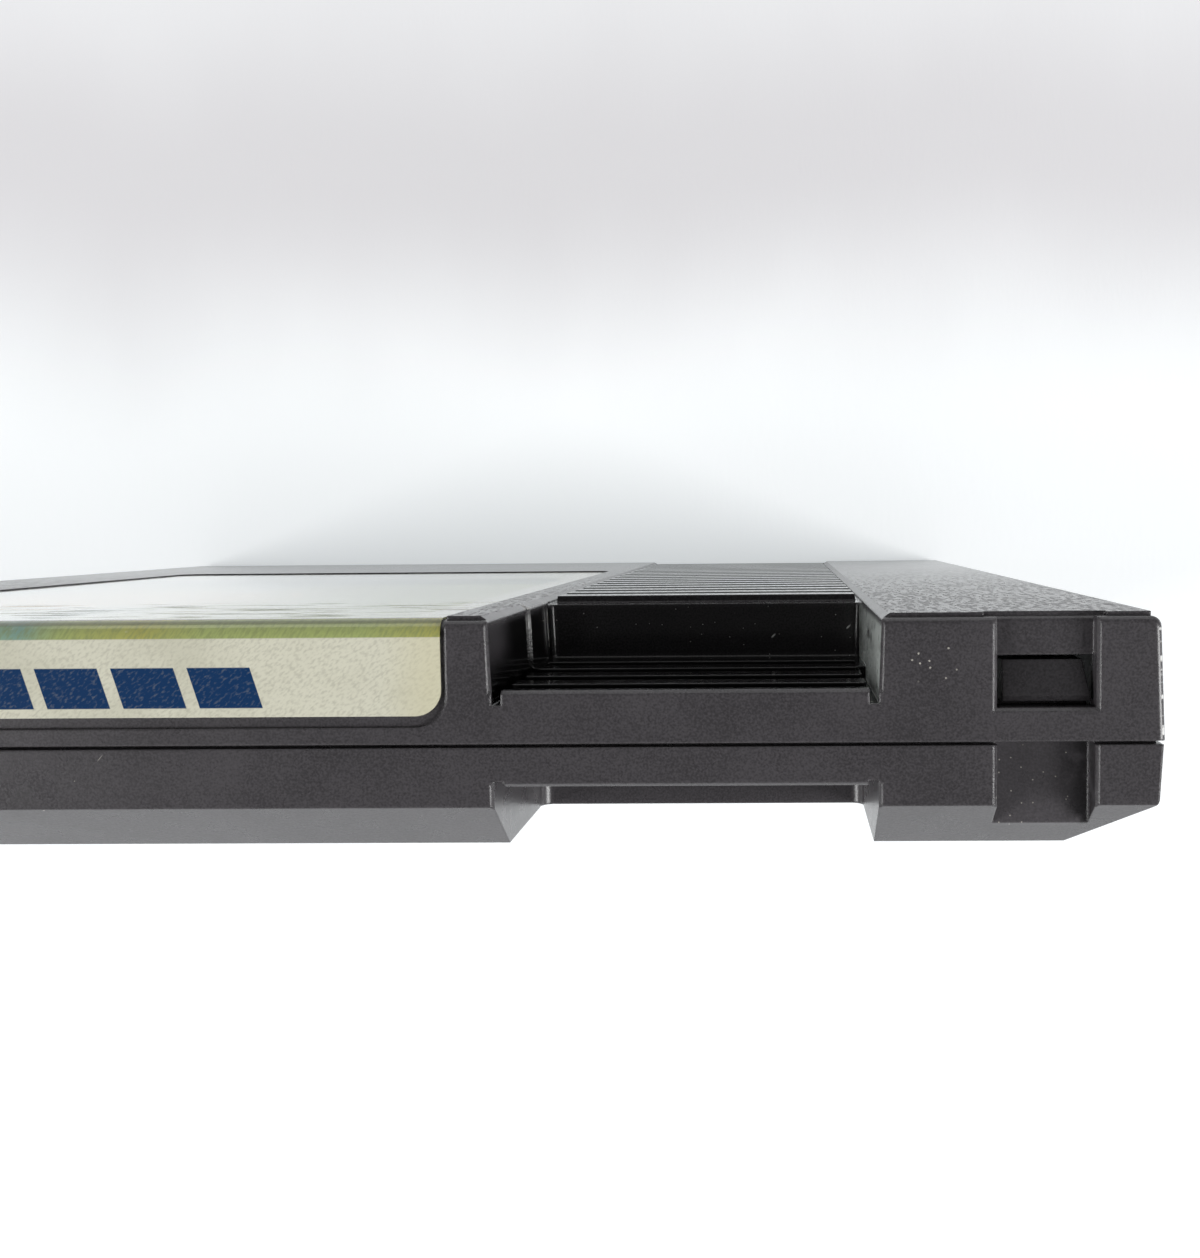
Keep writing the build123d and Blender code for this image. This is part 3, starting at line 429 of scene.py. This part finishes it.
def printed_paper(look):
    finish = Finish("printed_paper")
    u = finish.x - LABEL_LOW.x / MM
    v = finish.z - LABEL_LOW.z / MM
    flap = finish.y - LABEL_LOW.y / MM
    # Fields of colour that run on over the fold
    drift = u / LABEL_WIDTH + 0.05 * (finish.noise(0.35, 3.0, stretch=(1, 0.4, 0.3)) - 0.5)
    stops = [
        (0.0, look.yellow), (0.09, look.olive), (0.29, look.olive), (0.36, look.yellow), (0.46, look.olive),
        (0.51, look.teal), (0.62, look.olive), (0.78, look.yellow), (0.9, look.teal),
    ]
    field = finish.node("ShaderNodeValToRGB", {"stops": stops}, {0: drift})
    weave = finish.noise(6.0, 3.0, stretch=(1, 0.3, 0.3), turn=(0, 0, 0.5))
    field = finish.mix(0.6 * finish.rise(weave, 0.35, 0.7), field, WEAVE_GREEN)
    # Disc, ring and hills on the front, above a plain plate with one bar
    across = (u - DISC_U) * (u - DISC_U) + (v - DISC_V) * (v - DISC_V)
    disc = 1 - finish.rise(across, DISC_RADIUS**2 - 1, DISC_RADIUS**2 + 3)
    ring = finish.between(across, RING_INNER**2, RING_OUTER**2, 2)
    hill = 1 - finish.rise(v - 6 * finish.noise(0.09, 1.0, stretch=(1, 0, 0)), HILL_V, HILL_V + 0.3)
    front = finish.mix(disc | ring, field, DISC_ORANGE)
    front = finish.mix(hill, front, HILL_GREEN)
    furrow = finish.between((v - 0.5 * u) % FURROW_PITCH, 2, 3.2, 0.05)
    front = finish.mix(furrow * hill, front, look.olive)
    front = finish.mix(1 - finish.rise(v, PLATE_V - 0.1, PLATE_V + 0.1), front, look.paper)
    bar = finish.between(v, BAR_LOW, BAR_HIGH, 0.06) * finish.between(u, BAR_LEFT, BAR_RIGHT, 0.06)
    front = finish.mix(bar, front, look.ink)
    picture = finish.between(u, BORDER, LABEL_WIDTH - BORDER, 0.08)
    picture = picture * finish.rise(v, BORDER - 0.1, BORDER + 0.1)
    border = (1 - picture) * (1 - finish.rise(v, BORDER_TOP, BORDER_TOP + 2))
    front = finish.mix(border, front, look.paper)
    # Aged paper on the folded end, with fibres and a yellow stain towards the column
    fibre = finish.noise(6.0, 4.0, stretch=(1.0, 0.45, 0.45), turn=(0, 0, 0.9))
    paper = finish.mix(finish.rise(fibre, 0.42, 0.72) * 0.5, look.paper, FIBRE_GREY)
    stain = finish.rise(finish.noise(0.16, 4.0, shift=(4, 0, 0)), 0.45, 0.75)
    paper = finish.mix(stain * 0.35, paper, STAIN_GREY)
    paper = finish.mix((1 - finish.rise(u, 0.5, 4.5)) * 0.5, paper, AGED_YELLOW)
    # Slanted blocks in a row
    row = u + BLOCK_SLANT * (flap - BLOCK_MIDDLE) - BLOCK_START
    blocks = finish.between(row % BLOCK_PITCH, BLOCK_GAP, BLOCK_PITCH, PRINT_SOFT)
    blocks = blocks * finish.rise(row, BLOCK_GAP - PRINT_SOFT, BLOCK_GAP + PRINT_SOFT)
    blocks = blocks * (1 - finish.rise(u, BLOCK_END, BLOCK_END + 0.1))
    blocks = blocks * finish.between(flap, BLOCK_LOW, BLOCK_HIGH, PRINT_SOFT)
    end = finish.mix(blocks * (1 - 0.14 * finish.rise(fibre, 0.5, 0.75)), paper, look.ink)
    colour = finish.mix(finish.rise(flap, 0.25, 0.5), front, field)
    colour = finish.mix(finish.rise(flap, BAND_END, BAND_END + 0.08), colour, end)
    # Dark line and pale wear along the fold, dull streaks beside it on the front
    colour = finish.mix(finish.between(flap, 0.12, 0.34, 0.08) * 0.6, colour, FOLD_DARK)
    rub = finish.between(flap, 0.3, 0.9, 0.2) * finish.rise(finish.noise(1.1, 4.0), 0.66, 0.78)
    colour = finish.mix(rub * 0.4, colour, look.paper)
    near = finish.between(v, STREAK_LOW, STREAK_HIGH, 3) * (1 - finish.rise(flap, 0.1, 0.2))
    wrinkle = finish.noise(0.6, 5.0, stretch=(0.22, 1, 1))
    dull = near * finish.rise(wrinkle, 0.52, 0.62)
    colour = finish.mix(dull * 0.45, colour, STREAK_GREY)
    crack = near * finish.between(wrinkle, 0.455, 0.465, 0.004)
    crack = crack * finish.rise(finish.noise(0.2, 2.0), 0.5, 0.56)
    colour = finish.mix(crack * 0.9, colour, CRACK_DARK)
    gloss = 0.95 - 0.6 * (dull | crack) - 0.45 * (1 - finish.rise(u, 2, 34))
    rough = 0.07 + 0.14 * fibre + 0.25 * dull
    crease = finish.noise(0.5, 4.0, stretch=(0.12, 1.0, 1.0))
    normal = finish.bump(fibre + 2.0 * crease, 0.000008)
    return finish.close(
        Base_Color=colour, Roughness=rough, Coat_Weight=gloss, Coat_Roughness=0.08, Normal=normal,
    )


def solder_mask():
    finish = Finish("solder_mask")
    x, z = finish.x, finish.z
    trace = finish.between(abs((x + 0.2 * z) % 2.5 - 1.25), 0.0, 0.35, 0.04)
    patch = finish.rise(finish.noise(0.12, 0.0), 0.48, 0.5)
    colour = finish.mix(trace * patch * 0.5, (0.012, 0.085, 0.030), (0.030, 0.160, 0.055))
    rough = 0.28 + 0.15 * finish.noise(0.8, 2.0)
    normal = finish.bump(trace * patch, 0.00003)
    return finish.close(Base_Color=colour, Roughness=rough, Normal=normal)


def plated_metal(name, bright, dull, rough):
    finish = Finish(name)
    cloud = finish.noise(0.9, 3.0)
    colour = finish.mix(finish.rise(cloud, 0.4, 0.7), bright, dull)
    line = finish.noise(3.0, 2.0, stretch=(1, 1, 0.08))
    normal = finish.bump(line, 0.000004)
    return finish.close(Base_Color=colour, Metallic=1.0, Roughness=rough + 0.18 * line, Normal=normal)


def moulded_epoxy():
    finish = Finish("moulded_epoxy")
    grain = finish.noise(5.0, 3.0)
    colour = finish.mix(finish.noise(0.4, 2.0), (0.010, 0.010, 0.011), (0.022, 0.022, 0.023))
    normal = finish.bump(grain, 0.00002)
    return finish.close(Base_Color=colour, Roughness=0.45 + 0.2 * grain, Normal=normal)


def dipped_ceramic():
    finish = Finish("dipped_ceramic")
    cloud = finish.noise(0.9, 3.0)
    colour = finish.mix(cloud, (0.42, 0.19, 0.04), (0.56, 0.30, 0.08))
    normal = finish.bump(cloud, 0.00008, finish.soft_edges(0.0005))
    return finish.close(Base_Color=colour, Roughness=0.25 + 0.2 * cloud, Normal=normal)


def can_sleeve():
    finish = Finish("can_sleeve")
    low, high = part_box("filter_capacitor")
    middle = (low.x + high.x) / 2 / MM
    stripe = finish.between(finish.x, middle - 0.8, middle + 0.8, 0.05)
    colour = finish.mix(stripe, (0.015, 0.025, 0.080), (0.45, 0.47, 0.52))
    end = 1 - finish.between(finish.z, low.z / MM + 0.3, high.z / MM - 0.3, 0.05)
    colour = finish.mix(end, colour, (0.55, 0.55, 0.56))
    cloud = finish.noise(0.7, 2.0)
    normal = finish.bump(cloud, 0.00003)
    return finish.close(Base_Color=colour, Metallic=end, Roughness=0.3 + 0.15 * cloud, Normal=normal)


def table_top(look):
    finish = Finish("table_top")
    # Painted shade on the table some way in front of the case, paler again beyond
    cloud = finish.noise(0.02, 3.0, stretch=(1, 0.4, 1))
    away = 20 * cloud - finish.y - 10
    far = finish.rise(away, 28, 70) * (1 - 0.4 * finish.rise(away, 74, 105))
    colour = finish.mix(far, look.table, look.far_table)
    normal = finish.bump(finish.noise(0.9, 3.0, stretch=(1, 0.3, 1)), 0.00004)
    lit = finish.shader(Base_Color=look.table, Roughness=0.75 + 0.1 * cloud, Normal=normal)
    # Camera and reflections see a paler table than the one that takes the light
    pale = finish.shader(
        Base_Color=finish.mix(look.shade, (0, 0, 0), colour), Roughness=0.8, Normal=normal,
        Emission_Color=finish.mix(1.0, colour, look.cool, "MULTIPLY"), Emission_Strength=look.glow,
    )
    seen = finish.node("ShaderNodeLightPath", output="Is Camera Ray")
    seen = seen | finish.node("ShaderNodeLightPath", output="Is Glossy Ray")
    seen = seen | finish.node("ShaderNodeLightPath", output="Is Transmission Ray")
    return finish.end(finish.node("ShaderNodeMixShader", {}, {0: seen, 1: lit, 2: pale}))


class CARTRIDGE_OT_front(bpy.types.Operator):
    """Finish the front half of the case"""

    bl_idname = "cartridge.front"
    bl_label = "Finish Front Shell"

    def execute(self, context):
        dress("front_shell", front_plastic(context.scene.case_look))
        return {"FINISHED"}


class CARTRIDGE_OT_back(bpy.types.Operator):
    """Finish the back half of the case"""

    bl_idname = "cartridge.back"
    bl_label = "Finish Back Shell"

    def execute(self, context):
        dress("back_shell", back_plastic(context.scene.case_look))
        return {"FINISHED"}


class CARTRIDGE_OT_label(bpy.types.Operator):
    """Print the label"""

    bl_idname = "cartridge.label"
    bl_label = "Print Label"

    def execute(self, context):
        dress("wrap_label", printed_paper(context.scene.label_look))
        return {"FINISHED"}


class CARTRIDGE_OT_board(bpy.types.Operator):
    """Finish the circuit board and its contacts"""

    bl_idname = "cartridge.board"
    bl_label = "Finish Board"

    def execute(self, context):
        dress("circuit_board", solder_mask())
        gold = plated_metal("gold_plate", (0.80, 0.52, 0.16), (0.62, 0.40, 0.13), 0.22)
        dress("front_contacts", gold)
        dress("rear_contacts", gold)
        return {"FINISHED"}


class CARTRIDGE_OT_packages(bpy.types.Operator):
    """Finish the packages on the board and their leads"""

    bl_idname = "cartridge.packages"
    bl_label = "Finish Packages"

    def execute(self, context):
        epoxy = moulded_epoxy()
        for node in ("program_rom", "character_rom", "bank_switch_chip", "lockout_chip"):
            dress(node, epoxy)
        tin = plated_metal("tinned_lead", (0.62, 0.62, 0.60), (0.44, 0.44, 0.43), 0.30)
        for node in NODES:
            if node.endswith("_leads"):
                dress(node, tin)
        return {"FINISHED"}


class CARTRIDGE_OT_capacitors(bpy.types.Operator):
    """Finish the capacitors"""

    bl_idname = "cartridge.capacitors"
    bl_label = "Finish Capacitors"

    def execute(self, context):
        dress("bypass_capacitors", dipped_ceramic())
        dress("filter_capacitor", can_sleeve())
        return {"FINISHED"}


class CARTRIDGE_OT_screws(bpy.types.Operator):
    """Finish the case screws"""

    bl_idname = "cartridge.screws"
    bl_label = "Finish Screws"

    def execute(self, context):
        dress("case_screws", plated_metal("zinc_plate", (0.56, 0.55, 0.53), (0.36, 0.35, 0.34), 0.32))
        return {"FINISHED"}


def soft_light(name, place, aim, size, power):
    lamp = bpy.data.lights.new(name, "AREA")
    lamp.shape = "RECTANGLE"
    lamp.size, lamp.size_y = size
    lamp.energy = power
    made = bpy.data.objects.new(name, lamp)
    made.location = place
    made.rotation_euler = (Vector(aim) - Vector(place)).to_track_quat("-Z", "Y").to_euler()
    made.visible_camera = False
    bpy.context.scene.collection.objects.link(made)


def surround(strength):
    """Pale towards the horizon behind and beside the case, dark in front and overhead"""
    world = bpy.data.worlds.new("surround")
    world.use_nodes = True
    nodes, links = world.node_tree.nodes, world.node_tree.links
    place = nodes.new("ShaderNodeTexCoord")
    parts = nodes.new("ShaderNodeSeparateXYZ")
    links.new(place.outputs["Generated"], parts.inputs[0])
    level = nodes.new("ShaderNodeMath")
    level.operation = "MULTIPLY"
    # Each ramp's axis, its ends there, and its levels before and after them
    ramps = (("Y", -0.45, 0.30, 0.26, 1.0), ("Z", 0.35, 0.85, 1.0, 0.14))
    for slot, (axis, low, high, first, last) in enumerate(ramps):
        ramp = nodes.new("ShaderNodeMapRange")
        ramp.interpolation_type = "SMOOTHSTEP"
        for name, value in (("From Min", low), ("From Max", high), ("To Min", first), ("To Max", last)):
            ramp.inputs[name].default_value = value
        links.new(parts.outputs[axis], ramp.inputs["Value"])
        links.new(ramp.outputs[0], level.inputs[slot])
    links.new(level.outputs[0], nodes["Background"].inputs["Color"])
    nodes["Background"].inputs["Strength"].default_value = strength
    bpy.context.scene.world = world


def photo_camera():
    """Looks down on the label end from just in front of the case"""
    right, up, back = (Vector(axis) for axis in ((-1, 0, 0), (0, -1, 0), (0, 0, 1)))
    base = Matrix((right, up, back)).transposed()
    turn = Vector(EYE_TURN)
    rotation = base @ Matrix.Rotation(turn.length, 3, turn.normalized())
    lens = bpy.data.cameras.new("camera")
    lens.sensor_fit = "HORIZONTAL"
    lens.sensor_width = 36.0
    lens.lens = FOCAL_LENGTH / PHOTO_WIDTH * lens.sensor_width
    lens.shift_x = (PHOTO_WIDTH / 2 - CENTRE_X) / PHOTO_WIDTH
    lens.clip_start = 0.005
    made = bpy.data.objects.new("camera", lens)
    made.matrix_world = Matrix.Translation(EYE) @ rotation.to_4x4()
    bpy.context.scene.collection.objects.link(made)
    bpy.context.scene.camera = made


class CARTRIDGE_OT_stage(bpy.types.Operator):
    """Set the table, the light and the camera"""

    bl_idname = "cartridge.stage"
    bl_label = "Set Stage"

    def execute(self, context):
        look = context.scene.stage_look
        shape = bmesh.new()
        bmesh.ops.create_grid(shape, x_segments=1, y_segments=1, size=TABLE_REACH)
        mesh = bpy.data.meshes.new("table")
        shape.to_mesh(mesh)
        shape.free()
        table = bpy.data.objects.new("table", mesh)
        context.scene.collection.objects.link(table)
        table.data.materials.append(table_top(look))
        soft_light("left_side", (0.85, 0.14, 0.72), (0, 0, 0.10), (0.34, 0.50), look.left)
        soft_light("right_side", (-0.85, 0.14, 0.72), (0, 0, 0.10), (0.34, 0.50), look.right)
        soft_light("front_side", (0.0, -1.30, 0.30), (0, 0, 0.08), (1.4, 0.5), look.front)
        soft_light("back_side", (0.0, 1.10, 0.70), (0, 0, 0.08), (1.6, 0.6), look.key)
        surround(look.sky)
        photo_camera()
        context.scene.view_settings.view_transform = "Standard"
        return {"FINISHED"}


class CARTRIDGE_PT_panel(bpy.types.Panel):
    """Lists the cartridge's finishes and their settings"""

    bl_idname = "CARTRIDGE_PT_panel"
    bl_label = "Game Cartridge"
    bl_space_type = "VIEW_3D"
    bl_region_type = "UI"
    bl_category = "Cartridge"

    def draw(self, context):
        for operator in OPERATORS:
            self.layout.operator(operator.bl_idname)
        for look in (context.scene.case_look, context.scene.label_look, context.scene.stage_look):
            for name in look.bl_rna.properties.keys():
                if name not in ("rna_type", "name"):
                    self.layout.prop(look, name)


LOOKS = (("case_look", CaseLook), ("label_look", LabelLook), ("stage_look", StageLook))
OPERATORS = (
    CARTRIDGE_OT_front,
    CARTRIDGE_OT_back,
    CARTRIDGE_OT_label,
    CARTRIDGE_OT_board,
    CARTRIDGE_OT_packages,
    CARTRIDGE_OT_capacitors,
    CARTRIDGE_OT_screws,
    CARTRIDGE_OT_stage,
)


def register():
    for name, group in LOOKS:
        bpy.utils.register_class(group)
        setattr(bpy.types.Scene, name, PointerProperty(type=group))
    for made in (*OPERATORS, CARTRIDGE_PT_panel):
        bpy.utils.register_class(made)


def unregister():
    for made in (CARTRIDGE_PT_panel, *reversed(OPERATORS)):
        bpy.utils.unregister_class(made)
    for name, group in reversed(LOOKS):
        delattr(bpy.types.Scene, name)
        bpy.utils.unregister_class(group)


def main():
    register()
    for operator in OPERATORS:
        getattr(bpy.ops.cartridge, operator.bl_idname.split(".")[1])()


if __name__ == "__main__":
    main()
